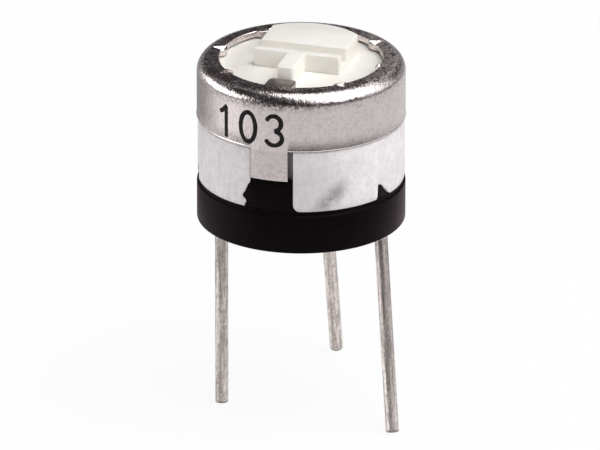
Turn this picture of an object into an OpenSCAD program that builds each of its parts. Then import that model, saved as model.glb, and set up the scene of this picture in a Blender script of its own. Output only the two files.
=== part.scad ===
// Trimmer potentiometer, single turn, round, three leads, quarter-inch body.
// Units are millimetres. The origin is the centre of the standoff under the base,
// which seats on a board. +Z is up along the rotor's axis.
// The cap's leg and the stop tab face -Y, and the wiper's lead is at +Y.

/* [Body] */
// Diameter over cap and base
body_d = 6.35; // [5.8:0.05:7.5]
// Height of the black base, from its lower edge up to the housing
base_h = 1.35; // [1.1:0.05:1.8]
// Height of the round standoff under the base
standoff_h = 0.1; // [0.05:0.01:0.3]
// Diameter of that standoff
standoff_d = 3.4; // [2.6:0.1:4]
// Height of housing that shows between base and cap
housing_show = 1.97; // [1.6:0.01:2.6]
// How far the housing's face lies inside the cap's face
housing_inset = 0.03; // [0.01:0.01:0.1]
// Height of the recess that runs round the base's upper edge
base_recess_h = 0.14; // [0.08:0.01:0.3]
// Depth of that recess
base_recess = 0.07; // [0.03:0.01:0.1]
// Thickness of the housing's wall round the substrate
rim_wall = 0.255; // [0.2:0.005:0.35]
// Thickness of the housing's wall round the rotor's hub
hub_wall = 0.665; // [0.55:0.005:0.8]
// Radius on the front notch's lower right corner
notch_round = 0.24; // [0.1:0.01:0.3]
// Width of the chip beside the front notch
chip_w = 0.27; // [0.1:0.01:0.35]
// Height of that chip
chip_h = 0.86; // [0.5:0.02:1]
// Angle of the small side keys from the front
side_key_at = 70; // [55:1:80]
// Width of a side key's notch
side_key_w = 0.62; // [0.3:0.02:0.7]
// Height of a side key's notch
side_key_h = 0.48; // [0.3:0.02:0.7]

/* [Cap] */
// Thickness of the cap's sheet
cap_t = 0.2; // [0.17:0.01:0.24]
// Height of the cap without its legs
cap_h = 1.85; // [1.7:0.01:2.6]
// Outside radius of the cap's shoulder
cap_round = 0.42; // [0.3:0.01:0.55]
// Width of the cap's ring, from its outside to the hole that shows the rotor
ring_w = 0.685; // [0.6:0.005:0.8]
// Width of a leg
leg_w = 1.18; // [0.8:0.02:1.19]
// Length of a leg below the cap's edge
leg_l = 0.98; // [0.6:0.02:1.2]
// Turn of the cap against the housing
leg_skew = 1.2; // [0:0.1:1.5]
// How far a stake pushes the hole's edge inward
stake_push = 0.13; // [0.05:0.01:0.2]
// Length of a stake's dent
stake_l = 0.5; // [0.3:0.02:0.54]
// Depth of a stake's dent at the hole's edge
stake_d = 0.14; // [0.05:0.01:0.15]
// Width of a stake's dent at the hole's edge
stake_w = 0.44; // [0.2:0.02:0.5]
// Width of the strip left between a stake's dent and the hole
stake_lip = 0.1; // [0.05:0.01:0.14]
// Radius of the bump that a stake makes in the hole's edge
stake_bump_r = 0.24; // [0.18:0.01:0.3]
// Width of the stop tab
tab_w = 0.86; // [0.7:0.02:1.2]
// How far the stop tab reaches past the head's arc
tab_lap = 0.2; // [0.1:0.02:0.3]
// Radius on the corners of the stop tab
tab_round = 0.18; // [0.06:0.01:0.2]
// Width of the line scored across the tab's root
score_w = 0.05; // [0.03:0.01:0.08]
// Depth of that line
score_d = 0.03; // [0.02:0.005:0.05]

/* [Rotor] */
// Turn from the middle to each end of travel
turn_each_way = 120; // [90:1:125]
// Height of the head above the cap
head_rise = 0.33; // [0.2:0.01:0.6]
// Distance of the head's rear arc from the hole's edge
head_in = 0.49; // [0.4:0.01:0.55]
// Distance of the head's front face from the axis
head_front = 0.5; // [0.42:0.02:0.7]
// Width of the pointer rib
rib_w = 0.54; // [0.4:0.02:0.8]
// Radius on the corners of the rib's end
rib_round = 0.1; // [0.05:0.01:0.15]
// Width of the screwdriver slot
slot_w = 0.5; // [0.4:0.02:0.6]
// Depth of the screwdriver slot
slot_d = 0.45; // [0.3:0.01:0.55]
// Thickness of the disc under the cap
disc_t = 0.5; // [0.3:0.05:0.7]
// Thickness of the seal ring's cord
seal_cord = 0.34; // [0.24:0.02:0.4]
// Depth of the seal's groove below the housing's upper edge
seal_depth = 0.9; // [0.7:0.02:1.1]
// Radius of the pin that holds the wiper
pin_r = 0.28; // [0.2:0.01:0.35]
// How far the pin's formed head reaches past it
pin_head = 0.16; // [0.1:0.01:0.2]

/* [Element] */
// Thickness of the ceramic substrate
substrate_t = 0.6; // [0.5:0.05:0.8]
// Thickness of the printed films
film_t = 0.04; // [0.03:0.01:0.06]
// Distance of the resistive track's middle from the circle of the leads
track_in = 0.82; // [0.76:0.02:0.95]
// Width of the resistive track
track_w = 0.56; // [0.4:0.02:0.7]
// Radius of the collector's disc
collector_r = 0.7; // [0.5:0.05:0.9]
// Width of the collector's run to its lead
collector_run_w = 0.5; // [0.3:0.02:0.7]
// Width of an end contact's run to its lead
end_run_w = 0.54; // [0.4:0.02:0.6]
// Angle that an end contact takes beyond the track
end_sweep = 14; // [8:1:18]
// Bare margin of the substrate outside the films
film_margin = 0.1; // [0.05:0.01:0.15]
// Height between the films and the rotor's hub
wiper_room = 1.06; // [0.9:0.02:1.2]
// Radius of the wiper's plate
wiper_r = 1.1; // [0.95:0.05:1.3]
// Thickness of the wiper's sheet
wiper_t = 0.1; // [0.08:0.01:0.14]
// Width of one wiper finger
finger_w = 0.16; // [0.1:0.01:0.2]
// Gap between neighbouring fingers
finger_gap = 0.06; // [0.04:0.01:0.1]

/* [Leads] */
// Diameter of a lead
lead_d = 0.41; // [0.36:0.01:0.46]
// Distance of the leads from the base's edge
lead_in = 0.635; // [0.6:0.005:0.66]
// Height of the standoff's face when the part stands on its leads
stand_h = 6.14; // [4:0.02:8]
// Straight length of a lead below the standoff's face
lead_stub = 0.3; // [0.1:0.05:0.6]
// Radius of the bend in a lead
lead_bend_r = 0.6; // [0.4:0.05:1]
// Chamfer on a lead's cut tip
lead_tip = 0.06; // [0.02:0.01:0.1]
// Height of a lead above the films
lead_proud = 0.22; // [0.15:0.01:0.3]
// Width of the solder round a lead
solder_w = 0.16; // [0.1:0.01:0.18]
// Lean of the left lead
lead_1_lean = 7.3; // [1:0.1:12]
// Direction in which the left lead leans
lead_1_to = -73; // [-90:1:-45]
// Lean of the rear lead
lead_2_lean = 17.7; // [1:0.1:20]
// Direction in which the rear lead leans
lead_2_to = 96; // [80:1:110]
// Lean of the right lead
lead_3_lean = 16.4; // [1:0.1:20]
// Direction in which the right lead leans
lead_3_to = -61; // [-90:1:-45]

/* [Fits] */
// Gap between pieces that are fixed to each other
seat_gap = 0.01; // [0.005:0.005:0.02]
// Play of the cap's legs in the housing's notches
notch_play = 0.18; // [0.16:0.01:0.5]
// Radial clearance of the rotor's disc in the cap
disc_gap = 0.195; // [0.1:0.005:0.3]
// Radial clearance of the hub in the housing
run_gap = 0.05; // [0.03:0.01:0.08]
// End play of the rotor above and below its disc
end_gap = 0.05; // [0.03:0.01:0.08]
// Gap between the rib's end and the end of the stop tab
rib_gap = 0.06; // [0.04:0.01:0.1]
// Clearance round the solder joints and over the leads' ends
solder_gap = 0.04; // [0.03:0.01:0.06]
// Angle left between head and stop tab at the end of travel
stop_gap = 1.5; // [0.5:0.1:3]

/* [Hidden] */

$fn = 64;
eps = 0.02;

base_top = standoff_h + base_h;

body_r = body_d / 2;
house_r = body_r - housing_inset;
cap_in_r = body_r - cap_t;
house_up_r = cap_in_r - seat_gap;
cap_low = base_top + housing_show;
cap_top = cap_low + cap_h;
cap_under = cap_top - cap_t;
hole_r = body_r - ring_w;
notch_w = leg_w + notch_play;
leg_low = cap_low - leg_l;

disc_top = cap_under - end_gap;
disc_low = disc_top - disc_t;
house_top = disc_low - end_gap;
house_step = cap_low - seat_gap;
disc_r = cap_in_r - disc_gap;
bore_r = house_up_r - hub_wall;
hub_r = bore_r - run_gap;

head_top = cap_top + head_rise;
head_r = hole_r - head_in;
tab_in_r = head_r - tab_lap;
tab_half = asin(tab_w / 2 / head_r);
stop_play = head_r * sin(stop_gap);
head_half = min(head_r * sin(180 - turn_each_way - tab_half - stop_gap),
    (tab_in_r + tab_round) * sin(turn_each_way) + (tab_w / 2 - tab_round) * cos(turn_each_way)
    - tab_round - stop_play);
rib_in_r = tab_in_r - rib_gap;

substrate_top = base_top + substrate_t;
film_top = substrate_top + film_t;
ledge = film_top + seat_gap;
counterbore_r = house_r - rim_wall;
substrate_r = counterbore_r - seat_gap;
notch_in_r = substrate_r - eps;
key_in_r = counterbore_r + eps;
key_out_r = body_r - base_recess;
key_top = leg_low - seat_gap;

hub_low = film_top + wiper_room;
plate_low = hub_low - wiper_t;
pin_head_h = pin_head + eps;
inner_finger_x = pin_r + pin_head + finger_w / 2 + wiper_t;
toe_low = film_top + seat_gap;
seal_r = bore_r - seal_cord / 2 - eps;
gland_r = bore_r - seal_cord - 2 * eps;
gland_h = seal_cord + 2 * eps;
gland_low = house_top - seal_depth;

lead_r = lead_d / 2;
lead_hole_r = lead_r + seat_gap;
lead_at = body_r - lead_in;
track_r = lead_at - track_in;
lead_top = film_top + lead_proud;
solder_r = lead_r + solder_w;
pocket_r = solder_r + solder_gap;
pocket_top = lead_top + 3 * solder_gap;
pad_r = solder_r + solder_gap / 2;
lead_1_xy = [-lead_at, 0];
lead_2_xy = [0, lead_at];
lead_3_xy = [lead_at, 0];
track_half = turn_each_way + 5;
seat_turn = 0.4;
film_in_r = track_r - track_w / 2;
film_out_r = track_r + track_w / 2;
film_rim_r = substrate_r - film_margin;

// A flat ring sector between two radii, from angle a to angle b
module sector(r_in, r_out, a, b) {
    difference() {
        circle(r_out);
        circle(r_in);
        rotate(b)
            cut_half(360 - (b - a), r_out);
    }
}

// What is left out of a sector, as half planes and wedges
module cut_half(sweep, r) {
    far = 3 * r;
    steps = ceil(sweep / 90);
    for (i = [0 : steps - 1]) {
        s = i * sweep / steps;
        e = (i + 1) * sweep / steps;
        polygon([[0, 0], far * [cos(s), sin(s)], far * [cos(e), sin(e)]]);
    }
}

// A flat outline on the front face, carried inward to the axis
module from_front(turn) {
    rotate([0, 0, turn])
        rotate([90, 0, 0])
            linear_extrude(body_d)
                children();
}

module shell(r_in, r_out, low, high) {
    translate([0, 0, low])
        linear_extrude(high - low)
            difference() {
                circle(r_out);
                circle(r_in);
            }
}

// Outline of the front notch: its lower left corner is chipped, its right one rounded
module front_notch(gap, top) {
    h = notch_w / 2;
    polygon([
        [-h + gap, top],
        [-h + gap, base_top + chip_h],
        [-h - chip_w + gap, base_top + 0.37 * chip_h],
        [-h - 0.55 * chip_w + gap, base_top + 0.16 * chip_h],
        [-h - 0.75 * chip_w + gap, base_top - eps],
        [h - gap, base_top - eps],
        [h - gap, top]
    ]);
    difference() {
        translate([h - gap - eps, base_top - eps])
            square([notch_round + eps, notch_round + eps]);
        translate([h - gap + notch_round, base_top + notch_round])
            circle(notch_round);
    }
}

// Outline of a side key's notch: one wall upright, the other broken off slanting
module side_notch(gap) {
    h = side_key_w / 2;
    polygon([
        [-h + gap, base_top - eps],
        [-h + gap, base_top + side_key_h - gap],
        [-0.5 * h - gap, base_top + side_key_h - gap],
        [0.75 * h - gap, base_top + 0.18 * side_key_h],
        [1.2 * h - gap, base_top - eps]
    ]);
}

module stake(turn) {
    reach = 0.9 * stake_l;
    drop = atan(stake_d / reach);
    rotate([0, 0, turn])
        translate([hole_r - stake_push + reach, 0, cap_top])
            rotate([0, -drop, 0])
                rotate([90, 0, -90])
                    linear_extrude((reach - stake_lip) / cos(drop))
                        polygon([[0, 0], [2 * stake_w, 4 * stake_d], [-2 * stake_w, 4 * stake_d]]);
}

module stake_bump(turn) {
    rotate([0, 0, turn])
        translate([hole_r - stake_push + stake_bump_r, 0, cap_under])
            cylinder(r = stake_bump_r, h = cap_t);
}

module cap() {
    color([0.78, 0.76, 0.75])
        difference() {
            union() {
                rotate_extrude($fn = 128) {
                    translate([cap_in_r, cap_low])
                        square([cap_t, cap_h - cap_round]);
                    translate([hole_r, cap_under])
                        square([body_r - cap_round - hole_r, cap_t]);
                    translate([body_r - cap_round, cap_top - cap_round])
                        intersection() {
                            difference() {
                                circle(cap_round);
                                circle(cap_round - cap_t);
                            }
                            square(cap_round);
                        }
                }
                for (turn = [0, 180])
                    intersection() {
                        shell(cap_in_r, body_r, leg_low, cap_low + cap_t);
                        from_front(turn - leg_skew)
                            translate([-leg_w / 2, leg_low - eps])
                                square([leg_w, leg_l + cap_t]);
                    }
                translate([0, 0, cap_under])
                    linear_extrude(cap_t) {
                        translate([-tab_w / 2, -hole_r - cap_t / 2])
                            square([tab_w, hole_r + cap_t / 2 - tab_in_r - tab_round]);
                        translate([-tab_w / 2 + tab_round, -tab_in_r - 2 * tab_round])
                            square([tab_w - 2 * tab_round, 2 * tab_round]);
                        for (side = [-1, 1])
                            translate([side * (tab_w / 2 - tab_round), -tab_in_r - tab_round])
                                circle(tab_round);
                    }
                for (turn = [-45 : 45 : 225])
                    stake_bump(turn);
            }
            for (turn = [-45 : 45 : 225])
                stake(turn);
            translate([-tab_w / 2 - score_d, -hole_r - 0.6 * score_w, cap_top - score_d])
                cube([tab_w + 2 * score_d, score_w, 2 * score_d]);
        }
}

module housing() {
    color([0.88, 0.87, 0.86])
        difference() {
            union() {
                shell(bore_r, house_r, base_top, house_step);
                shell(bore_r, house_up_r, house_step - eps, house_top);
            }
            translate([0, 0, base_top - eps])
                cylinder(r = counterbore_r, h = ledge - base_top + eps, $fn = 128);
            for (at = [lead_1_xy, lead_2_xy, lead_3_xy])
                translate([at[0], at[1], base_top])
                    cylinder(r = pocket_r, h = pocket_top - base_top);
            intersection() {
                from_front(0)
                    front_notch(0, cap_low);
                shell(notch_in_r, body_r + 1, base_top - eps, cap_low);
            }
            intersection() {
                from_front(180)
                    translate([-notch_w / 2, base_top - eps])
                        square([notch_w, housing_show + eps]);
                shell(notch_in_r, body_r + 1, base_top - eps, cap_low);
            }
            for (side = [0, 1])
                mirror([side, 0, 0])
                    intersection() {
                        from_front(side_key_at)
                            side_notch(0);
                        shell(notch_in_r, body_r + 1, base_top - eps, cap_low);
                    }
        }
}

module base() {
    color([0.07, 0.06, 0.07])
        difference() {
            union() {
                cylinder(r = standoff_d / 2, h = standoff_h + eps, $fn = 128);
                translate([0, 0, standoff_h])
                    cylinder(r = body_r, h = base_h - base_recess_h, $fn = 128);
                translate([0, 0, standoff_h])
                    cylinder(r = key_out_r, h = base_h, $fn = 128);
                intersection() {
                    from_front(0)
                        front_notch(seat_gap, key_top);
                    shell(key_in_r, key_out_r, base_top - eps, key_top);
                }
                intersection() {
                    from_front(180)
                        translate([-notch_w / 2 + seat_gap, base_top - eps])
                            square([notch_w - 2 * seat_gap, key_top - base_top + eps]);
                    shell(key_in_r, key_out_r, base_top - eps, key_top);
                }
                for (side = [0, 1])
                    mirror([side, 0, 0])
                        intersection() {
                            from_front(side_key_at)
                                side_notch(seat_gap);
                            shell(key_in_r, key_out_r, base_top - eps, cap_low);
                        }
            }
            for (at = [lead_1_xy, lead_2_xy, lead_3_xy])
                translate([at[0], at[1], -1])
                    cylinder(r = lead_hole_r, h = base_top + 2, $fn = 48);
        }
}

module head_outline() {
    intersection() {
        circle(head_r);
        translate([-head_half, -head_front])
            square([2 * head_half, head_front + head_r]);
    }
    translate([-rib_w / 2, -rib_in_r + rib_round])
        square([rib_w, rib_in_r - rib_round]);
    translate([-rib_w / 2 + rib_round, -rib_in_r])
        square([rib_w - 2 * rib_round, 2 * rib_round]);
    for (side = [-1, 1])
        translate([side * (rib_w / 2 - rib_round), -rib_in_r + rib_round])
            circle(rib_round);
}

module rotor() {
    color([0.95, 0.94, 0.9])
        difference() {
            union() {
                translate([0, 0, disc_low])
                    cylinder(r = disc_r, h = disc_t, $fn = 128);
                translate([0, 0, hub_low])
                    cylinder(r = hub_r, h = disc_low - hub_low + eps, $fn = 128);
                translate([0, 0, disc_top - eps])
                    linear_extrude(head_top - disc_top + eps)
                        head_outline();
                translate([0, 0, plate_low - pin_head])
                    cylinder(r = pin_r, h = hub_low - plate_low + pin_head + eps);
                translate([0, 0, plate_low - pin_head_h])
                    cylinder(r = pin_r + pin_head, h = pin_head_h - seat_gap);
            }
            translate([-body_r, -slot_w / 2, head_top - slot_d])
                cube([body_d, slot_w, slot_d + 1]);
            shell(gland_r, body_r, gland_low, gland_low + gland_h);
        }
}

module shaft_seal() {
    color([0.25, 0.12, 0.1])
        translate([0, 0, gland_low + gland_h / 2])
            rotate_extrude($fn = 128)
                translate([seal_r, 0])
                    circle(seal_cord / 2);
}

// Side outline of a finger: it leaves the plate at y0 and touches at y1
module finger(x, y0, y1) {
    run = y1 > y0 ? 1 : -1;
    translate([x + finger_w / 2, 0, 0])
        rotate([90, 0, -90])
            mirror([1, 0, 0])
                linear_extrude(finger_w)
                    polygon([
                        [y0 - run * 1.2 * wiper_t, plate_low],
                        [y0, plate_low],
                        [y1 - run * 1.4 * wiper_t, toe_low + wiper_t],
                        [y1 - run * 0.8 * wiper_t, toe_low],
                        [y1 + run * 0.6 * wiper_t, toe_low],
                        [y1 + run * 1.6 * wiper_t, toe_low + 1.4 * wiper_t],
                        [y1 + run * 0.8 * wiper_t, toe_low + 2 * wiper_t],
                        [y1 - run * 0.4 * wiper_t, toe_low + 1.2 * wiper_t],
                        [y0 + run * 1.4 * wiper_t, hub_low - seat_gap],
                        [y0 - run * 1.2 * wiper_t, hub_low - seat_gap]
                    ]);
}

module wiper() {
    color([0.8, 0.66, 0.35])
        union() {
            difference() {
                translate([0, 0, plate_low])
                    cylinder(r = wiper_r, h = wiper_t - seat_gap);
                translate([0, 0, plate_low - 1])
                    cylinder(r = pin_r + seat_gap, h = 2);
            }
            for (i = [-1, 0, 1])
                finger(i * (finger_w + finger_gap), -wiper_r + 2 * wiper_t, -track_r);
            for (side = [-1, 1])
                finger(side * inner_finger_x, wiper_r - 3 * wiper_t, finger_w);
        }
}

module substrate() {
    color([0.9, 0.89, 0.86])
        difference() {
            translate([0, 0, base_top])
                cylinder(r = substrate_r, h = substrate_t, $fn = 128);
            for (at = [lead_1_xy, lead_2_xy, lead_3_xy])
                translate([at[0], at[1], base_top - 1])
                    cylinder(r = lead_hole_r, h = substrate_t + 2, $fn = 48);
        }
}

module film(lead) {
    translate([0, 0, substrate_top])
        linear_extrude(film_t)
            difference() {
                union() {
                    children();
                    intersection() {
                        translate(lead)
                            circle(pad_r);
                        circle(film_rim_r);
                    }
                }
                translate(lead)
                    circle(lead_hole_r);
            }
}

module resistive_track() {
    color([0.13, 0.12, 0.12])
        translate([0, 0, substrate_top])
            linear_extrude(film_t)
                sector(film_in_r, film_out_r, -90 - track_half, -90 + track_half);
}

module collector_film() {
    color([0.7, 0.68, 0.62])
        film(lead_2_xy) {
            circle(collector_r);
            translate([-collector_run_w / 2, 0])
                square([collector_run_w, lead_at - lead_r - film_margin]);
        }
}

module end_film() {
    at = -90 + track_half + seat_turn;
    film(lead_3_xy) {
        sector(film_in_r, film_rim_r, at, at + end_sweep);
        sector(film_rim_r - end_run_w, film_rim_r, 0, at + end_sweep);
    }
}

module end_film_1() {
    color([0.7, 0.68, 0.62])
        mirror([1, 0, 0])
            end_film();
}

module end_film_3() {
    color([0.7, 0.68, 0.62])
        end_film();
}

// One wire: straight through base and substrate, then a bend, then leaning to its cut tip
module lead(at, lean, heading) {
    knuckle_r = lead_r + 0.3 * seat_gap;
    drop = lead_bend_r * sin(lean);
    out = lead_bend_r * (1 - cos(lean));
    run = (stand_h - lead_stub - drop - (lead_r - lead_tip) * sin(lean)) / cos(lean);
    color([0.68, 0.66, 0.63])
        translate([at[0], at[1], 0])
            rotate([0, 0, heading]) {
                translate([0, 0, -lead_stub])
                    cylinder(r = lead_r, h = lead_top + lead_stub, $fn = 48);
                translate([lead_bend_r, 0, -lead_stub])
                    rotate([-90, 0, 180])
                        rotate_extrude(angle = lean, $fn = 96)
                            translate([lead_bend_r, 0])
                                circle(lead_r, $fn = 48);
                translate([0, 0, -lead_stub])
                    sphere(knuckle_r, $fn = 48);
                translate([out, 0, -lead_stub - drop])
                    rotate([0, 180 - lean, 0]) {
                        sphere(knuckle_r, $fn = 48);
                        cylinder(r = lead_r, h = run - lead_tip, $fn = 48);
                        translate([0, 0, run - lead_tip])
                            cylinder(r1 = lead_r, r2 = lead_r - lead_tip, h = lead_tip, $fn = 48);
                    }
            }
}

module lead_1() {
    lead(lead_1_xy, lead_1_lean, lead_1_to);
}

module lead_2() {
    lead(lead_2_xy, lead_2_lean, lead_2_to);
}

module lead_3() {
    lead(lead_3_xy, lead_3_lean, lead_3_to);
}

module solder(at) {
    color([0.62, 0.63, 0.64])
        translate([at[0], at[1], film_top])
            difference() {
                cylinder(r1 = solder_r, r2 = lead_r + 0.3 * solder_w, h = lead_proud - eps, $fn = 48);
                translate([0, 0, -1])
                    cylinder(r = lead_hole_r, h = 3, $fn = 48);
            }
}

module solder_1() {
    solder(lead_1_xy);
}

module solder_2() {
    solder(lead_2_xy);
}

module solder_3() {
    solder(lead_3_xy);
}

cap();
housing();
base();
rotor();
shaft_seal();
wiper();
substrate();
resistive_track();
collector_film();
end_film_1();
end_film_3();
lead_1();
lead_2();
lead_3();
solder_1();
solder_2();
solder_3();
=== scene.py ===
from math import acos, asin, atan2, cos, hypot, pi, radians, sin, sqrt, tan

import bmesh
import bpy
from mathutils import Matrix, Vector
from mathutils import noise as mnoise


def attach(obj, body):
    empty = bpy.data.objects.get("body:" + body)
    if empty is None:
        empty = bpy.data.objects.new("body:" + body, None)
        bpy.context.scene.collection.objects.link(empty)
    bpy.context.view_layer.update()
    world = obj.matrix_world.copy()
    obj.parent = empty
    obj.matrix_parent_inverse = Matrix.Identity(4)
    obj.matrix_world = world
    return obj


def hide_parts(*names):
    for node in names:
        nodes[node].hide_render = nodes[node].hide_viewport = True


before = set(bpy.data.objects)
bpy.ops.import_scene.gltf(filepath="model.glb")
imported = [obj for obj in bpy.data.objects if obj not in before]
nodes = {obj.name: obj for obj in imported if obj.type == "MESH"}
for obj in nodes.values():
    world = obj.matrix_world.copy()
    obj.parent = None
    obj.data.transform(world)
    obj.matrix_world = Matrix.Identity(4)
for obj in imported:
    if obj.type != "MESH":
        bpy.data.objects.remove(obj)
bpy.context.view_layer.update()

# Sizes in millimetres, the same as the solids'

MM = 0.001
AXIS = 0.0001  # radius of a lathed profile's points on the axis
ROUND = 240  # steps round the body

# Base
BODY_R = 3.175
STANDOFF_R = 1.7
BASE_LOW = 0.1
BASE_TOP = 1.45
RECESS_H = 0.14
KEY_OUT = 3.105
KEY_IN = 2.91
KEY_TOP = 2.43
KEY_GAP = 0.01
FOOT = 0.05  # how far notches and keys reach below the base's top

# Housing
HOUSE_R = 3.145
HOUSE_UP_R = 2.965
HOUSE_TOP = 4.47
COUNTERBORE_R = 2.89
BORE_R = 2.30
LEDGE = 2.1
NOTCH_W = 1.36
NOTCH_IN = 2.86
NOTCH_ROUND = 0.24
SIDE_KEY = radians(70)
SIDE_W = 0.62
SIDE_H = 0.48
POCKET_R = 0.405
POCKET_TOP = 2.43

# Cap
CAP_LOW = 3.42
CAP_TOP = 5.27
CAP_T = 0.2
CAP_ROUND = 0.42
CAP_LIP = 0.012  # the skirt's lower edge stands out a little
HOLE_R = 2.49
HOLE_EDGE = 0.035
LEG_W = 1.18
LEG_LOW = 2.44
LEG_SKEW = radians(-1.2)
TAB_W = 0.86
TAB_IN = 1.8
TAB_ROUND = 0.18
TAB_ROOT = 0.16
STAKE_PUSH = 0.13
STAKE_HALF = 0.22
STAKE_REACH = 0.24
STAKE_L = 0.45
STAKE_D = 0.14
STAKE_W = 0.44
STAKE_LIP = 0.1
STAKES = [radians(t) for t in (-45, 0, 45, 90, 135, 180, 225)]

# Rotor
DISC_R = 2.78
DISC_TOP = 5.02
DISC_LOW = 4.52
HUB_R = 2.25
HUB_LOW = 3.15
GLAND_R = 1.92
GLAND_LOW = 3.57
GLAND_H = 0.38
PIN_R = 0.28
PIN_HEAD_R = 0.44
PIN_HEAD_H = 0.17
PIN_LOW = 2.87
HEAD_TOP = 5.60
HEAD_R = 2.0
TURN = radians(120)
STOP_GAP = radians(1.5)
HEAD_HALF = ((TAB_IN + TAB_ROUND) * sin(TURN) + (TAB_W / 2 - TAB_ROUND) * cos(TURN) - TAB_ROUND
             - HEAD_R * sin(STOP_GAP))
HEAD_FRONT = 0.5
RIB_W = 0.54
RIB_IN = 1.74
RIB_ROUND = 0.1
SLOT_W = 0.5
SLOT_D = 0.45

# Leads: where each leaves the base, its lean, the way it leans and a seed for its dents
LEAD_R = 0.205
LEAD_HOLE_R = 0.215
LEAD_AT = 2.54
LEAD_TOP = 2.31
LEAD_SIDES = 40
STAND = 6.14
STUB = 0.3
BEND_R = 0.6
TIP = 0.06
TIP_MARK = 20.0  # the tip's place in the wire's own coordinate
DENTED = -0.2  # below this height a wire is uneven
LEADS = {
    "lead_1": ((-LEAD_AT, 0.0), 7.3, -73.0, 3.7),
    "lead_2": ((0.0, LEAD_AT), 17.7, 96.0, 11.9),
    "lead_3": ((LEAD_AT, 0.0), 16.4, -61.0, 23.1),
}

# Camera: angles, pixels to a millimetre, and where the origin falls in the picture
AZ, EL = radians(17.0), radians(22.5)
IMAGE_W, IMAGE_H = 600, 450
PX_MM = 32.83
ORIGIN_X, ORIGIN_Y = 301.2, 217.15
CAMERA_FAR = 0.5
SENSOR = 36.0

scene = bpy.context.scene
scene.view_settings.view_transform = "Standard"


# Mesh helpers: everything is built in millimetres and scaled once

def linked(name, me):
    ob = bpy.data.objects.new(name, me)
    scene.collection.objects.link(ob)
    return ob


def mesh_object(name, verts, faces, smooth=True):
    me = bpy.data.meshes.new(name)
    me.from_pydata([tuple(v) for v in verts], [], faces)
    me.validate()
    bm = bmesh.new()
    bm.from_mesh(me)
    bmesh.ops.remove_doubles(bm, verts=bm.verts, dist=1e-5)
    bmesh.ops.dissolve_degenerate(bm, edges=bm.edges, dist=1e-5)
    bmesh.ops.recalc_face_normals(bm, faces=bm.faces)
    bm.to_mesh(me)
    bm.free()
    for p in me.polygons:
        p.use_smooth = smooth
    return linked(name, me)


def grid_faces(n, m):
    """Faces of n columns of m points, closed both ways."""
    faces = []
    for i in range(n):
        j = (i + 1) % n
        for k in range(m):
            q = (k + 1) % m
            faces.append((i * m + k, j * m + k, j * m + q, i * m + q))
    return faces


def even(n):
    return [2 * pi * i / n for i in range(n)]


def lathe(name, profile, thetas):
    """A closed profile of (r, z) turned through the listed angles, all the way round."""
    verts = [(r * cos(t), r * sin(t), z) for t in thetas for r, z in profile]
    return mesh_object(name, verts, grid_faces(len(thetas), len(profile)))


def rounded(points, radii, steps=5):
    """A closed outline whose corners are rounded by the given radii."""
    out = []
    n = len(points)
    for i in range(n):
        p = Vector(points[i])
        a = Vector(points[i - 1]) - p
        b = Vector(points[(i + 1) % n]) - p
        r = radii[i]
        la, lb = a.length, b.length
        a.normalize()
        b.normalize()
        half = acos(max(-1, min(1, a.dot(b)))) / 2
        if r <= 0 or half > pi / 2 - 0.02:
            out.append(tuple(p))
            continue
        d = min(r / tan(half), la * 0.48, lb * 0.48)
        r = d * tan(half)
        c = p + (a + b).normalized() * (r / sin(half))
        s, e = p + a * d - c, p + b * d - c
        sweep = atan2(s.x * e.y - s.y * e.x, s.dot(e))
        for k in range(steps + 1):
            t = sweep * k / steps
            out.append((c.x + s.x * cos(t) - s.y * sin(t), c.y + s.x * sin(t) + s.y * cos(t)))
    return out


def prism(name, outline, low, high):
    n = len(outline)
    verts = [(x, y, low) for x, y in outline] + [(x, y, high) for x, y in outline]
    faces = [tuple(range(n))[::-1], tuple(range(n, 2 * n))]
    faces += [(i, (i + 1) % n, n + (i + 1) % n, n + i) for i in range(n)]
    return mesh_object(name, verts, faces, smooth=False)


def rod(name, x, y, r, low, high):
    return prism(name, [(x + r * cos(t), y + r * sin(t)) for t in even(40)], low, high)


def facing(ob, turn):
    """Stands a prism drawn in (u, z) on the front of the body and turns it round the axis."""
    for v in ob.data.vertices:
        u, z, y = v.co
        v.co = Vector((u, -y, z))
    ob.data.transform(Matrix.Rotation(turn, 4, "Z"))
    ob.data.update()
    bm = bmesh.new()
    bm.from_mesh(ob.data)
    bmesh.ops.recalc_face_normals(bm, faces=bm.faces)
    bm.to_mesh(ob.data)
    bm.free()
    return ob


def baked(ob):
    """The object with its modifiers applied."""
    dg = bpy.context.evaluated_depsgraph_get()
    me = bpy.data.meshes.new_from_object(ob.evaluated_get(dg))
    ob.modifiers.clear()
    ob.data = me
    return ob


def boolean(ob, others, how="DIFFERENCE"):
    for other in others:
        mod = ob.modifiers.new("cut", "BOOLEAN")
        mod.operation = how
        mod.solver = "EXACT"
        mod.object = other
        baked(ob)
        bpy.data.objects.remove(other)
    return ob


def bevel(ob, width, segments, angle=40):
    mod = ob.modifiers.new("edge", "BEVEL")
    mod.width = width
    mod.segments = segments
    mod.limit_method = "ANGLE"
    mod.angle_limit = radians(angle)
    mod.use_clamp_overlap = True
    mod.harden_normals = False
    return baked(ob)


def joined(name, obs):
    bm = bmesh.new()
    for ob in obs:
        bm.from_mesh(ob.data)
    me = bpy.data.meshes.new(name)
    bm.to_mesh(me)
    bm.free()
    for ob in obs:
        bpy.data.objects.remove(ob)
    return linked(name, me)


def finish_piece(ob, material, body, slot, *node_names, sharp=32):
    """Scales a piece to metres, marks its sharp edges and ties it to the frame."""
    me = ob.data
    me.transform(Matrix.Scale(MM, 4))
    for p in me.polygons:
        p.use_smooth = True
    bm = bmesh.new()
    bm.from_mesh(me)
    limit = radians(sharp)
    for e in bm.edges:
        e.smooth = len(e.link_faces) == 2 and e.calc_face_angle(0.0) < limit
    bm.to_mesh(me)
    bm.free()
    me.materials.clear()
    me.materials.append(material)
    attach(ob, body)
    if node_names:
        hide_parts(*node_names)


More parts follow.
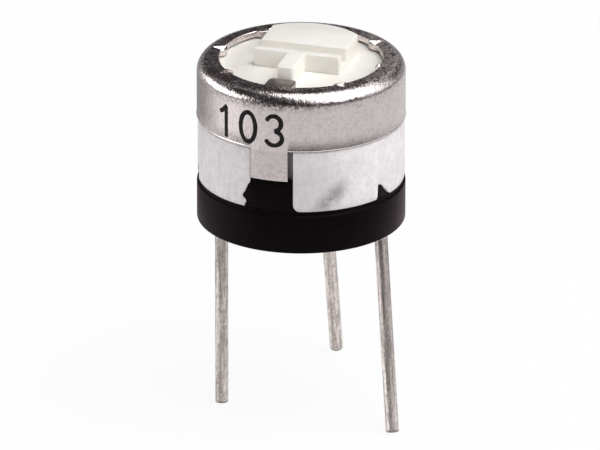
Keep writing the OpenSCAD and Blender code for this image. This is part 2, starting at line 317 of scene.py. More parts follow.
# Material helpers

class Tree:
    """A node tree, with short names for the nodes used here."""

    def __init__(self, tree):
        self.t = tree

    def node(self, kind, **props):
        n = self.t.nodes.new(kind)
        for k, v in props.items():
            setattr(n, k, v)
        return n

    def link(self, a, b):
        self.t.links.new(a, b)

    def math(self, op, a, b=None, clamp=False):
        n = self.node("ShaderNodeMath", operation=op, use_clamp=clamp)
        for i, v in enumerate((a, b)):
            if v is None:
                continue
            if isinstance(v, (int, float)):
                n.inputs[i].default_value = v
            else:
                self.link(v, n.inputs[i])
        return n.outputs[0]

    def add(self, a, b, clamp=False):
        return self.math("ADD", a, b, clamp)

    def sub(self, a, b):
        return self.math("SUBTRACT", a, b)

    def mul(self, a, b):
        return self.math("MULTIPLY", a, b)

    def off(self, a, b):
        """How far a lies from b."""
        return self.math("ABSOLUTE", self.sub(a, b))

    def split(self, vector):
        n = self.node("ShaderNodeSeparateXYZ")
        self.link(vector, n.inputs[0])
        return n.outputs

    def ramp(self, fac, lo, hi, a=0.0, b=1.0, soft=False):
        n = self.node("ShaderNodeMapRange", clamp=True)
        if soft:
            n.interpolation_type = "SMOOTHSTEP"
        self.link(fac, n.inputs["Value"])
        for name, value in (("From Min", lo), ("From Max", hi), ("To Min", a), ("To Max", b)):
            n.inputs[name].default_value = value
        return n.outputs["Result"]

    def shown(self):
        """Camera rays, and all rays that see the background: straight, in metal or through glass."""
        path = self.node("ShaderNodeLightPath").outputs
        seen = self.add(path["Is Camera Ray"], path["Is Glossy Ray"], clamp=True)
        return path["Is Camera Ray"], self.add(seen, path["Is Transmission Ray"], clamp=True)


class Mat(Tree):
    """A material of one shader, painted in the piece's own millimetres."""

    def __init__(self, name, **sockets):
        self.m = bpy.data.materials.new(name)
        self.m.use_nodes = True
        super().__init__(self.m.node_tree)
        self.bsdf = self.t.nodes["Principled BSDF"]
        for k, v in sockets.items():
            self.socket(k.capitalize(), v)
        scale = self.node("ShaderNodeVectorMath", operation="SCALE")
        scale.inputs["Scale"].default_value = 1 / MM
        self.link(self.node("ShaderNodeTexCoord").outputs["Object"], scale.inputs[0])
        self.mm = scale.outputs[0]

    def socket(self, name, value):
        self.bsdf.inputs[name].default_value = value

    def wrapped(self):
        """A vector of (arc length, radius, height) for what runs round the body, and these three."""
        x, y, z = self.split(self.mm)
        arc = self.mul(self.math("ARCTAN2", x, self.mul(y, -1.0)), BODY_R)
        rad = self.math("SQRT", self.add(self.mul(x, x), self.mul(y, y)))
        com = self.node("ShaderNodeCombineXYZ")
        for value, sock in zip((arc, rad, z), com.inputs):
            self.link(value, sock)
        return com.outputs[0], arc, rad, z

    def oval(self, u, half_u, w, half_w):
        """Distance from an oval's middle, where 1 is its edge."""
        return self.math("SQRT", self.add(self.math("POWER", self.mul(u, 1 / half_u), 2.0),
                                          self.math("POWER", self.mul(w, 1 / half_w), 2.0)))

    def noise(self, scale, detail, rough, vector=None, stretch=None):
        src = vector or self.mm
        if stretch:
            mul = self.node("ShaderNodeVectorMath", operation="MULTIPLY")
            self.link(src, mul.inputs[0])
            mul.inputs[1].default_value = stretch
            src = mul.outputs[0]
        n = self.node("ShaderNodeTexNoise")
        n.inputs["Scale"].default_value = scale
        n.inputs["Detail"].default_value = detail
        n.inputs["Roughness"].default_value = rough
        self.link(src, n.inputs["Vector"])
        return n.outputs["Fac"]

    def mix(self, fac, a, b):
        n = self.node("ShaderNodeMix", data_type="RGBA")
        self.link(fac, n.inputs[0])
        for sock, v in ((n.inputs[6], a), (n.inputs[7], b)):
            if isinstance(v, tuple):
                sock.default_value = (*v, 1.0)
            else:
                self.link(v, sock)
        return n.outputs[2]

    def bump(self, height, strength, distance_mm, after=None):
        n = self.node("ShaderNodeBump")
        n.inputs["Strength"].default_value = strength
        n.inputs["Distance"].default_value = distance_mm / 1000.0
        self.link(height, n.inputs["Height"])
        if after is not None:
            self.link(after, n.inputs["Normal"])
        return n.outputs["Normal"]

    def out(self, color, rough, normal):
        self.link(color, self.bsdf.inputs["Base Color"])
        self.link(rough, self.bsdf.inputs["Roughness"])
        self.link(normal, self.bsdf.inputs["Normal"])
        return self.m


def metal_cap():
    m = Mat("plated_sheet", metallic=1.0)
    vec, arc, _, z = m.wrapped()
    x, y, _ = m.split(m.mm)
    drawn = m.noise(1.0, 3.0, 0.6, vec, (24.0, 2.0, 1.3))
    grain = m.noise(13.0, 1.0, 0.5)
    cloud = m.noise(2.2, 4.0, 0.6)
    pits = m.noise(10.0, 4.0, 0.7)
    specks = m.ramp(m.noise(9.0, 3.0, 0.65), 0.48, 0.68)
    dirt = (0.45, 0.39, 0.39)
    col = m.mix(m.ramp(cloud, 0.35, 0.7), (0.77, 0.69, 0.685), (0.86, 0.79, 0.785))
    col = m.mix(m.ramp(drawn, 0.55, 0.8, 0.0, 0.6), col, (0.58, 0.51, 0.505))
    col = m.mix(m.ramp(pits, 0.62, 0.74, 0.0, 0.7), col, (0.38, 0.33, 0.33))
    # the legs are dirtier than the skirt
    col = m.mix(m.ramp(z, CAP_LOW - 0.05, CAP_LOW, 0.27, 0.0), col, dirt)
    col = m.mix(m.mul(specks, m.ramp(z, CAP_LOW - 0.05, CAP_LOW + 0.1, 0.55, 0.32)), col, dirt)
    # the shoulder is scuffed
    scuff = m.ramp(z, CAP_LOW + 1.2, CAP_LOW + 1.5)
    col = m.mix(m.mul(scuff, m.ramp(grain, 0.5, 0.68, 0.0, 0.55)), col, (0.32, 0.275, 0.28))
    # painted dark reflection in flecks along the shoulder's lower edge, most of all in front, standing for the
    # dark room that the shoulder mirrors there
    across = m.ramp(m.off(arc, -0.05), 0.7, 2.1, 1.0, 0.1)
    dark_reflection_band = m.ramp(m.off(z, CAP_TOP - 0.36), 0.04, 0.24, 1.0, 0.0)
    flecks = m.ramp(m.noise(11.0, 3.0, 0.65), 0.44, 0.58, 0.0, 0.85)
    col = m.mix(m.mul(m.mul(across, dark_reflection_band), flecks), col, (0.10, 0.085, 0.088))
    # the stop tab is duller than the ring, and painted darker: a painted dark reflection in place of the
    # bright rotor that it mirrors
    wide = m.ramp(m.off(x, 0.0), 0.46, 0.52, 1.0, 0.0)
    tab = m.mul(m.mul(m.ramp(y, -2.5, -2.42), wide),
                m.mul(m.ramp(y, -1.7, -1.6, 1.0, 0.0), m.ramp(z, 5.0, 5.02)))
    col = m.mix(m.mul(tab, 0.8), col, (0.31, 0.28, 0.275))
    rough = m.add(m.ramp(cloud, 0.3, 0.7, 0.15, 0.24), m.ramp(grain, 0.3, 0.7, -0.02, 0.06))
    rough = m.add(rough, m.mul(tab, 0.15))
    # the ring is rubbed dull on its right half, and has dull specks all round
    half = m.add(m.mul(x, 0.956), m.mul(y, 0.292))
    dull = m.mul(m.ramp(half, 0.4, 2.8), m.ramp(z, CAP_TOP - 0.12, CAP_TOP - 0.04))
    rough = m.add(rough, m.mul(dull, m.ramp(grain, 0.38, 0.6, 0.06, 0.3)))
    salt = m.ramp(m.noise(9.0, 3.0, 0.6), 0.59, 0.68, 0.0, 0.26)
    rough = m.add(rough, m.mul(salt, m.ramp(z, CAP_TOP - 0.2, CAP_TOP - 0.08)))
    height = m.mul(grain, m.ramp(z, CAP_LOW + 1.15, CAP_LOW + 1.5, 0.2, 1.0))
    return m.out(col, rough, m.bump(height, 0.6, 0.015, m.bump(drawn, 0.4, 0.02)))


def white_housing():
    m = Mat("pale_moulding")
    vec, arc, rad, z = m.wrapped()
    cloud = m.noise(1.3, 5.0, 0.6)
    streak = m.noise(1.0, 4.0, 0.6, vec, (5.0, 1.0, 1.1))
    speck = m.noise(15.0, 3.0, 0.6)
    mottle = m.noise(6.5, 3.0, 0.7)
    col = m.mix(m.ramp(cloud, 0.3, 0.72), (0.775, 0.73, 0.742), (0.885, 0.85, 0.858))
    col = m.mix(m.ramp(streak, 0.52, 0.8, 0.0, 0.6), col, (0.60, 0.57, 0.58))
    col = m.mix(m.ramp(speck, 0.6, 0.76, 0.0, 0.45), col, (0.55, 0.53, 0.53))
    col = m.mix(m.ramp(mottle, 0.42, 0.64, 0.0, 0.4), col, (0.60, 0.56, 0.58))
    # the slanting smudge on the front, low on the right of the notch
    up = m.sub(z, 1.84)
    d = m.oval(m.sub(m.sub(arc, 1.84), m.mul(up, 0.75)), 0.36, up, 0.52)
    smudge = m.mul(m.ramp(d, 0.15, 1.35, 1.0, 0.0), m.ramp(m.noise(3.4, 5.0, 0.65), 0.3, 0.54))
    col = m.mix(m.mul(smudge, 0.95), col, (0.15, 0.15, 0.165))
    # a faint shade round it
    d = m.oval(m.sub(arc, 1.35), 0.9, m.sub(z, 2.3), 1.1)
    shade = m.mul(m.ramp(d, 0.2, 1.3, 1.0, 0.0), m.ramp(cloud, 0.3, 0.65, 0.15, 0.6))
    col = m.mix(shade, col, (0.50, 0.475, 0.485))
    # painted shade in the corner under the cap's edge and where the housing meets the base, broken up by the
    # streaks
    low = m.ramp(z, BASE_TOP, BASE_TOP + 0.16, 0.35, 0.0)
    top = m.ramp(z, CAP_LOW - 0.09, CAP_LOW - 0.03, 0.0, 0.75)
    col = m.mix(m.mul(m.add(low, top), m.ramp(streak, 0.3, 0.7, 0.4, 1.0)), col, (0.36, 0.33, 0.33))
    # painted shade in the notches and on the inner faces, darker the farther in
    col = m.mix(m.ramp(rad, NOTCH_IN, HOUSE_R - 0.04, 0.8, 0.0), col, (0.26, 0.23, 0.23))
    rough = m.ramp(cloud, 0.3, 0.7, 0.5, 0.65)
    return m.out(col, rough, m.bump(streak, 0.2, 0.03, m.bump(speck, 0.25, 0.015)))


def black_base():
    m = Mat("dark_moulding")
    m.socket("Specular IOR Level", 0.05)
    m.socket("Specular Tint", (1.0, 0.84, 0.92, 1.0))
    m.socket("Sheen Weight", 0.12)
    m.socket("Sheen Roughness", 0.4)
    m.socket("Sheen Tint", (0.8, 0.4, 0.55, 1.0))
    vec, *_ = m.wrapped()
    cloud = m.noise(1.6, 4.0, 0.6)
    fine = m.noise(26.0, 3.0, 0.6)
    drag = m.noise(1.0, 3.0, 0.6, vec, (2.2, 1.0, 16.0))
    col = m.mix(m.ramp(cloud, 0.35, 0.7), (0.0015, 0.001, 0.0012), (0.0032, 0.0023, 0.0028))
    col = m.mix(m.ramp(m.noise(9.0, 2.0, 0.5), 0.74, 0.78, 0.0, 0.6), col, (0.05, 0.046, 0.05))
    rough = m.add(m.ramp(cloud, 0.3, 0.7, 0.3, 0.42), m.ramp(drag, 0.3, 0.7, -0.04, 0.06))
    return m.out(col, rough, m.bump(drag, 0.12, 0.012, m.bump(fine, 0.2, 0.006)))


def white_rotor():
    m = Mat("warm_white_moulding")
    m.socket("Subsurface Weight", 0.25)
    m.socket("Subsurface Radius", (0.0006, 0.0005, 0.0004))
    m.socket("Subsurface Scale", 1.0)
    cloud = m.noise(1.4, 4.0, 0.55)
    fine = m.noise(20.0, 3.0, 0.6)
    col = m.mix(m.ramp(cloud, 0.3, 0.7), (0.905, 0.87, 0.80), (0.95, 0.925, 0.88))
    col = m.mix(m.ramp(fine, 0.66, 0.8, 0.0, 0.25), col, (0.78, 0.74, 0.67))
    rough = m.ramp(cloud, 0.3, 0.7, 0.34, 0.46)
    return m.out(col, rough, m.bump(fine, 0.2, 0.01, m.bump(cloud, 0.2, 0.03)))


def tinned_wire():
    m = Mat("tinned_wire", metallic=1.0)
    # place on the wire as if it were straight, with the tip at TIP_MARK
    wire = m.node("ShaderNodeAttribute", attribute_name="straight").outputs["Vector"]
    drawn = m.noise(1.0, 3.0, 0.6, wire, (11.0, 11.0, 0.8))
    blot = m.noise(1.0, 5.0, 0.65, wire, (6.0, 6.0, 4.0))
    fleck = m.noise(1.0, 3.0, 0.65, wire, (20.0, 20.0, 9.0))
    fine = m.noise(30.0, 3.0, 0.6)
    col = m.mix(m.ramp(drawn, 0.38, 0.62), (0.41, 0.357, 0.338), (0.84, 0.765, 0.735))
    col = m.mix(m.ramp(blot, 0.5, 0.7, 0.0, 0.75), col, (0.34, 0.30, 0.285))
    col = m.mix(m.ramp(fleck, 0.57, 0.66, 0.0, 0.65), col, (0.24, 0.21, 0.20))
    col = m.mix(m.ramp(fleck, 0.33, 0.42, 0.85, 0.0), col, (0.95, 0.91, 0.88))
    # the cut end is dark: partly the cut face's own dull tone, partly painted shadow where the tip stands on
    # the floor
    end = m.ramp(m.split(wire)[2], TIP_MARK - 0.11, TIP_MARK - 0.03, 0.0, 0.85)
    col = m.mix(end, col, (0.12, 0.11, 0.105))
    rough = m.add(m.ramp(blot, 0.3, 0.7, 0.28, 0.42), m.ramp(fine, 0.3, 0.7, -0.04, 0.06))
    n = m.bump(fleck, 0.45, 0.012, m.bump(drawn, 0.5, 0.02))
    return m.out(col, rough, m.bump(fine, 0.3, 0.006, n))


def simple(name, a, b, scale, rough, metallic=0.0, shine=0.5):
    """A finish that wanders between two colours, with a fine grain."""
    m = Mat(name, metallic=metallic)
    m.socket("Specular IOR Level", shine)
    f = m.noise(scale, 4.0, 0.6)
    g = m.noise(scale * 6.0, 3.0, 0.6)
    col = m.mix(m.ramp(f, 0.3, 0.7), a, b)
    return m.out(col, m.ramp(f, 0.3, 0.7, rough - 0.06, rough + 0.08), m.bump(g, 0.2, 0.008))


# The cap

def cap_profile():
    """The sheet's section: (whether it follows the lower edge, radius, height)."""
    r, top, t, e = BODY_R, CAP_TOP, CAP_T, HOLE_EDGE
    rin = r - t
    flat, spring = r - CAP_ROUND, top - CAP_ROUND
    # skirt's lower edge, rounded, then up the outside
    low = [(True, r - 0.5 * t, 0.0), (True, r - 0.05, 0.0), (True, r - 0.012, 0.012), (True, r, 0.045)]
    prof = [(r, CAP_LOW + 0.08), (r, CAP_LOW + 0.5), (r, CAP_LOW + 1.0)]
    for k in range(15):
        a = k / 14 * pi / 2
        prof.append((flat + CAP_ROUND * cos(a), spring + CAP_ROUND * sin(a)))
    for k in range(1, 13):
        prof.append((flat + (HOLE_R + e - flat) * k / 12, top))
    for k in range(1, 6):
        a = k / 5 * pi / 2
        prof.append((HOLE_R + e - e * sin(a), top - e + e * cos(a)))
    prof += [(HOLE_R, top - t + 0.03), (HOLE_R + 0.02, top - t), (flat, top - t)]
    for k in range(1, 7):
        a = pi / 2 - k / 6 * pi / 2
        prof.append((flat + (CAP_ROUND - t) * cos(a), spring + (CAP_ROUND - t) * sin(a)))
    prof.append((rin, CAP_LOW + 0.08))
    return low + [(False, *p) for p in prof] + [(True, rin, 0.03), (True, rin + 0.02, 0.0)]


def apart(a, b):
    """The signed angle from b to a."""
    return (a - b + pi) % (2 * pi) - pi


def cap_columns():
    """Angles round the cap, each with whether a leg stands there, finer at the stakes."""
    half = asin(LEG_W / 2 / BODY_R)
    legs = [-pi / 2 + LEG_SKEW, pi / 2 + LEG_SKEW]
    angles = {round(t, 6) for t in even(ROUND)}
    for s in STAKES:
        angles |= {round((s + i * radians(0.32)) % (2 * pi), 6) for i in range(-26, 27)}
    columns = [(g, any(abs(apart(g, leg)) < half - 0.004 for leg in legs)) for g in angles]
    # a leg's edge is two columns at one angle, a short one and a long one
    for leg in legs:
        for side in (-1, 1):
            edge = (leg + side * half) % (2 * pi)
            columns = [c for c in columns if abs(c[0] - edge) > 0.004]
            columns += [(edge + side * 1e-7, False), (edge - side * 1e-7, True)]
    return sorted(columns)


def stake_push(g, r):
    """How far the stakes push the sheet inward at an angle and radius."""
    push = 0.0
    for s in STAKES:
        d = apart(g, s)
        u = abs(r * sin(d))
        if abs(d) < 0.3 and u < STAKE_HALF:
            fade = max(0.0, 1 - max(0.0, r - HOLE_R) / STAKE_REACH)
            push += STAKE_PUSH * (1 - (u / STAKE_HALF) ** 2) ** 0.6 * fade
    return push


def stake_dents():
    """Cutters for the stakes' dents: slanting V grooves that end at a steep wall near the hole."""
    drop = atan2(STAKE_D, STAKE_L)
    length = (STAKE_L - STAKE_LIP) / cos(drop)
    z_up = Vector((0, 0, 1))
    vee = ((0, 0), (2 * STAKE_W, 4 * STAKE_D), (-2 * STAKE_W, 4 * STAKE_D))
    faces = [(0, 2, 1), (3, 4, 5), (0, 1, 4, 3), (1, 2, 5, 4), (2, 0, 3, 5)]
    dents = []
    for s in STAKES:
        out, along = Vector((cos(s), sin(s), 0)), Vector((-sin(s), cos(s), 0))
        apex = out * (HOLE_R - STAKE_PUSH + STAKE_L) + z_up * CAP_TOP
        inward = out * -cos(drop) - z_up * sin(drop)
        tilted = out * -sin(drop) + z_up * cos(drop)
        pts = [apex + inward * (length * k) + along * u + tilted * w for k in (0, 1) for u, w in vee]
        dents.append(mesh_object("dent", pts, faces, smooth=False))
    return dents


def cap_piece():
    prof, columns = cap_profile(), cap_columns()
    under = CAP_TOP - CAP_T
    verts = []
    for g, leg in columns:
        low = LEG_LOW if leg else CAP_LOW
        for at_edge, r, z in prof:
            if at_edge:
                z += low
            x = r
            if not leg and r > BODY_R - 0.1 and z < CAP_LOW + 0.06:
                x += CAP_LIP
            if z > under - 0.001 and r < HOLE_R + STAKE_REACH:
                x -= stake_push(g, r)
            verts.append((x * cos(g), x * sin(g), z))
    shell = mesh_object("cap_shell", verts, grid_faces(len(columns), len(prof)))
    shell = boolean(shell, stake_dents())

    # the stop tab, a tongue of the same sheet bent a little down from the ring
    w, root = TAB_W / 2, -HOLE_R - TAB_ROOT
    outline = rounded([(-w, root), (w, root), (w, -TAB_IN), (-w, -TAB_IN)],
                      [0.0, 0.0, TAB_ROUND, TAB_ROUND], 6)
    tab = bevel(prism("tab", outline, under - 0.012, CAP_TOP - 0.012), 0.03, 3)
    for v in tab.data.vertices:
        back = v.co.y + HOLE_R + 0.02
        if back > 0:
            v.co.z -= 0.02 * (back / 0.7) ** 1.3
    return joined("cap_shell_and_tab", [shell, tab])


# The housing with its notches, chips and rounded corner

def notch_outline(gap, top):
    """The front notch: a chipped left side and a rounded lower right corner."""
    h, b, q = NOTCH_W / 2, BASE_TOP, NOTCH_ROUND
    chips = [(0.0, 0.90), (0.02, 0.83), (0.10, 0.70), (0.17, 0.52), (0.27, 0.36), (0.26, 0.29), (0.16, 0.21),
             (0.15, 0.13), (0.20, 0.06), (0.21, -FOOT)]
    left = [(-h + gap, top)] + [(-h - u + gap, b + z) for u, z in chips]
    right = [(h - gap + q, b - FOOT), (h - gap + q, b)]
    for k in range(1, 8):
        a = k / 7 * pi / 2
        right.append((h - gap + q - q * sin(a), b + q - q * cos(a)))
    return left + right + [(h - gap, top)]


def square_outline(gap, top):
    h, low = NOTCH_W / 2 - gap, BASE_TOP - FOOT
    return [(-h, low), (h, low), (h, top), (-h, top)]


def side_outline(gap, mirrored=False):
    h, b = SIDE_W / 2, BASE_TOP
    steep = [(-h - 0.06 + gap, b - FOOT), (-h - 0.03 + gap, b + 0.04), (-h + gap, b + 0.12),
             (-h + 0.02 + gap, b + SIDE_H - gap)]
    slope = [(-0.5, SIDE_H - gap), (-0.1, 0.365), (0.3, 0.215), (0.75, 0.08), (1.15, 0.015), (1.3, -FOOT)]
    outline = steep + [(f * h - gap, b + z) for f, z in slope]
    return [(-u, z) for u, z in outline][::-1] if mirrored else outline


def notch_places(gap, top):
    """Each notch's outline and its turn round the body."""
    return ((notch_outline(gap, top), 0.0), (square_outline(gap, top), pi),
            (side_outline(gap), SIDE_KEY), (side_outline(gap, True), -SIDE_KEY))


def front_block(outline, turn):
    return facing(prism("block", outline, 0.5, 5.0), turn)


def housing_piece():
    step = CAP_LOW - 0.01
    prof = rounded([(COUNTERBORE_R, BASE_TOP), (HOUSE_R, BASE_TOP), (HOUSE_R, step), (HOUSE_UP_R, step),
                    (HOUSE_UP_R, HOUSE_TOP), (BORE_R, HOUSE_TOP), (BORE_R, LEDGE), (COUNTERBORE_R, LEDGE)],
                   [0.0, 0.04, 0.02, 0.0, 0.05, 0.0, 0.0, 0.0], 3)
    ob = lathe("housing_ring", prof, even(ROUND))
    cuts = []
    for outline, turn in notch_places(0.0, CAP_LOW + 0.1):
        # the notches end at a round floor
        core = lathe("core", [(AXIS, 0.0), (NOTCH_IN, 0.0), (NOTCH_IN, 6.0), (AXIS, 6.0)], even(96))
        cuts.append(boolean(front_block(outline, turn), [core]))
    for (x, y), *_ in LEADS.values():
        cuts.append(rod("pocket", x, y, POCKET_R, BASE_TOP - 0.1, POCKET_TOP))
    return bevel(boolean(ob, cuts), 0.022, 2)


# The base with its keys

def base_piece():
    step = BASE_TOP - RECESS_H
    prof = rounded([(AXIS, 0.0), (STANDOFF_R, 0.0), (STANDOFF_R, BASE_LOW), (BODY_R, BASE_LOW), (BODY_R, step),
                    (KEY_OUT, step), (KEY_OUT, BASE_TOP), (AXIS, BASE_TOP)],
                   [0.0, 0.03, 0.02, 0.05, 0.045, 0.02, 0.02, 0.0], 4)
    holes = [rod("hole", x, y, LEAD_HOLE_R, -1.0, BASE_TOP + 1.0) for (x, y), *_ in LEADS.values()]
    parts = [boolean(lathe("base_disc", prof, even(ROUND)), holes)]
    out = KEY_OUT - 0.015
    for outline, turn in notch_places(KEY_GAP, KEY_TOP):
        tube = lathe("tube", [(KEY_IN, 0.0), (out, 0.0), (out, 6.0), (KEY_IN, 6.0)], even(ROUND))
        parts.append(bevel(boolean(front_block(outline, turn), [tube], "INTERSECT"), 0.02, 2))
    return joined("base_and_keys", parts)


# The rotor

def head_outline():
    """The head's plan: a rib to the front, a cut front side and a round back."""
    q, w, tip = RIB_ROUND, RIB_W / 2, -RIB_IN
    turns = [k / 5 * pi / 2 for k in range(6)]
    outline = [(-HEAD_HALF, -HEAD_FRONT), (-w, -HEAD_FRONT), (-w, tip + q)]
    outline += [(-w + q - q * cos(t), tip + q - q * sin(t)) for t in turns[1:]]
    outline += [(w - q + q * sin(t), tip + q - q * cos(t)) for t in turns]
    outline += [(w, -HEAD_FRONT), (HEAD_HALF, -HEAD_FRONT)]
    first = atan2(sqrt(HEAD_R ** 2 - HEAD_HALF ** 2), HEAD_HALF)
    back = [first + (pi - 2 * first) * k / 40 for k in range(41)]
    return outline + [(HEAD_R * cos(t), HEAD_R * sin(t)) for t in back]


def rotor_piece():
    g = GLAND_LOW + GLAND_H
    prof = rounded([(AXIS, HUB_LOW), (HUB_R, HUB_LOW), (HUB_R, GLAND_LOW), (GLAND_R, GLAND_LOW), (GLAND_R, g),
                    (HUB_R, g), (HUB_R, DISC_LOW), (DISC_R, DISC_LOW), (DISC_R, DISC_TOP), (AXIS, DISC_TOP)],
                   [0.0, 0.08, 0.02, 0.02, 0.02, 0.02, 0.03, 0.05, 0.06, 0.0], 3)
    disc = lathe("rotor_disc", prof, even(192))
    neck, root = PIN_LOW + PIN_HEAD_H, HUB_LOW + 0.05
    pin = lathe("rotor_pin", [(AXIS, PIN_LOW), (PIN_HEAD_R - 0.04, PIN_LOW), (PIN_HEAD_R, PIN_LOW + 0.04),
                              (PIN_HEAD_R, neck), (PIN_R, neck), (PIN_R, root), (AXIS, root)], even(48))
    head = prism("rotor_head", head_outline(), DISC_TOP - 0.12, HEAD_TOP)
    s = SLOT_W / 2
    slot = prism("slot", [(-3, -s), (3, -s), (3, s), (-3, s)], HEAD_TOP - SLOT_D, HEAD_TOP + 1)
    head = bevel(boolean(head, [slot]), 0.05, 3)
    return joined("rotor_moulding", [disc, pin, head])


# The leads

def lead_path(lean):
    """Points down a lead that leans along +X, each with its slope and its share of the radius."""
    drop = BEND_R * sin(lean)
    out = BEND_R * (1 - cos(lean))
    run = (STAND - STUB - drop - (LEAD_R - TIP) * sin(lean)) / cos(lean)
    path = [(Vector((0, 0, LEAD_TOP - k / 12 * (LEAD_TOP + STUB))), 0.0, 1.0) for k in range(13)]
    for k in range(1, 9):
        a = lean * k / 8
        path.append((Vector((BEND_R * (1 - cos(a)), 0, -STUB - BEND_R * sin(a))), a, 1.0))
    for k in range(1, 91):
        s = (run - TIP) * k / 90
        path.append((Vector((out + s * sin(lean), 0, -STUB - drop - s * cos(lean))), lean, 1.0))
    end = path[-1][0]
    for k in range(1, 6):
        a = k / 5 * pi / 2 * 0.9
        d = TIP * sin(a)
        share = 1 - (TIP / LEAD_R) * (1 - cos(a)) * 1.1
        path.append((end + Vector((d * sin(lean), 0, -d * cos(lean))), lean, share))
    return path


def lead_piece(name):
    (x, y), lean, to, seed = LEADS[name]
    rings = lead_path(radians(lean))
    n = len(rings)
    left = [0.0] * n
    for i in range(n - 2, -1, -1):
        left[i] = left[i + 1] + (rings[i][0] - rings[i + 1][0]).length
    verts, faces, straight = [], [], []
    for i, (p, a, share) in enumerate(rings):
        for t in even(LEAD_SIDES):
            r = LEAD_R * share
            if p.z < DENTED and i < n - 5:
                r += 0.004 * mnoise.noise(Vector((cos(t) * 1.1, sin(t) * 1.1, p.z * 2.3 + seed)))
            if p.z < DENTED:
                r -= 0.003
            lx, ly = r * cos(t), r * sin(t)
            verts.append((p.x + lx * cos(a), p.y + ly, p.z + lx * sin(a)))
            straight += [seed + lx, ly, TIP_MARK - left[i]]
    m = LEAD_SIDES
    for i in range(n - 1):
        for k in range(m):
            q = (k + 1) % m
            faces.append((i * m + k, i * m + q, (i + 1) * m + q, (i + 1) * m + k))
    faces += [tuple(range(m)), tuple(range((n - 1) * m, n * m))[::-1]]
    ob = mesh_object(name + "_wire", verts, faces)
    ob.data.attributes.new("straight", "FLOAT_VECTOR", "POINT").data.foreach_set("vector", straight)
    ob.data.transform(Matrix.Translation((x, y, 0)) @ Matrix.Rotation(radians(to), 4, "Z"))
    return ob


# Plain digits stamped on the cap's side

def digit_stroke(d):
    """Centre line of a digit 0.62 wide and 1.0 high."""
    def arc(cx, cy, rx, ry, a, b, n=28):
        turns = [radians(a + (b - a) * k / n) for k in range(n + 1)]
        return [(cx + rx * cos(t), cy + ry * sin(t)) for t in turns]
    if d == "1":
        return [(0.34, 0.0), (0.34, 1.0), (0.29, 0.93), (0.20, 0.84), (0.10, 0.78)]
    if d == "0":
        return arc(0.31, 0.5, 0.27, 0.5, 90, 450, 48)
    return arc(0.30, 0.745, 0.24, 0.255, 150, -80) + arc(0.30, 0.245, 0.27, 0.245, 80, -150)


def marking_piece(text, middle, low, pitch, high, width):
    """Digits laid on the cap's side: the row's middle, its foot, the pitch, the height and the stroke."""
    verts, faces = [], []
    r = BODY_R + 0.004

    def put(u, z):
        a = u / BODY_R - pi / 2
        verts.append((r * cos(a), r * sin(a), z))
        return len(verts) - 1

    for i, ch in enumerate(text):
        u0 = middle + (i - (len(text) - 1) / 2) * pitch - 0.31 * high
        stroke = digit_stroke(ch)
        pts = []
        for (ax, ay), (bx, by) in zip(stroke, stroke[1:]):
            n = max(1, int(hypot(bx - ax, by - ay) / 0.03))
            pts += [(ax + (bx - ax) * k / n, ay + (by - ay) * k / n) for k in range(n)]
        pts.append(stroke[-1])
        pts = [(u0 + x * high, low + y * high) for x, y in pts]
        rows = []
        for k, (x, y) in enumerate(pts):
            ax, ay = pts[max(0, k - 1)]
            bx, by = pts[min(len(pts) - 1, k + 1)]
            dx, dy = bx - ax, by - ay
            ln = hypot(dx, dy) or 1.0
            nx, ny = -dy / ln, dx / ln
            w = width / 2 * (1 + 0.16 * mnoise.noise(Vector((x * 9, y * 9, i * 3.1))))
            rows.append((put(x + nx * w, y + ny * w), put(x - nx * w, y - ny * w)))
        faces += [(a, b, d, c) for (a, b), (c, d) in zip(rows, rows[1:])]
        for x, y in (pts[0], pts[-1]):
            faces.append(tuple(put(x + width / 2 * cos(t), y + width / 2 * sin(t)) for t in even(14)))
    me = bpy.data.meshes.new("marking")
    me.from_pydata(verts, [], faces)
    bm = bmesh.new()
    bm.from_mesh(me)
    for f in bm.faces:
        c = f.calc_center_median()
        if f.normal.dot(Vector((c.x, c.y, 0))) < 0:
            f.normal_flip()
    bm.to_mesh(me)
    bm.free()
    return linked("stamped_digits", me)


# Build the pieces

finish_piece(cap_piece(), metal_cap(), "body", "plated_metal", "cap", sharp=26)
finish_piece(housing_piece(), white_housing(), "body", "grey_white_housing", "housing")
finish_piece(base_piece(), black_base(), "body", "black_base", "base")
finish_piece(rotor_piece(), white_rotor(), "rotor", "white_rotor", "rotor")
wire = tinned_wire()
for lead in LEADS:
    finish_piece(lead_piece(lead), wire, "body", "tinned_wire", lead)

ink = simple("stamped_ink", (0.006, 0.005, 0.0055), (0.02, 0.017, 0.018), 7.0, 0.6, shine=0.15)
finish_piece(marking_piece("103", -0.75, CAP_LOW + 0.19, 0.86, 0.95, 0.143), ink, "body", "black_base")

# Inner pieces keep their solids and get their own finishes
film = simple("contact_film", (0.52, 0.50, 0.46), (0.64, 0.62, 0.57), 14.0, 0.42, 1.0)
solder = simple("solder_joint", (0.50, 0.51, 0.52), (0.66, 0.67, 0.68), 7.0, 0.25, 1.0)
inner = {
    "shaft_seal": simple("seal_rubber", (0.16, 0.05, 0.035), (0.22, 0.08, 0.055), 6.0, 0.6),
    "wiper": simple("spring_alloy", (0.72, 0.55, 0.27), (0.80, 0.66, 0.36), 8.0, 0.28, 1.0),
    "substrate": simple("alumina", (0.80, 0.79, 0.75), (0.88, 0.87, 0.84), 9.0, 0.6),
    "resistive_track": simple("track_film", (0.015, 0.015, 0.016), (0.04, 0.04, 0.042), 14.0, 0.5),
    "collector_film": film,
    "end_film_1": film,
    "end_film_3": film,
    "solder_1": solder,
    "solder_2": solder,
    "solder_3": solder,
}
for name, material in inner.items():
    me = nodes[name].data
    me.materials.clear()
    me.materials.append(material)


# Camera at the photograph's angle: far off with a long lens

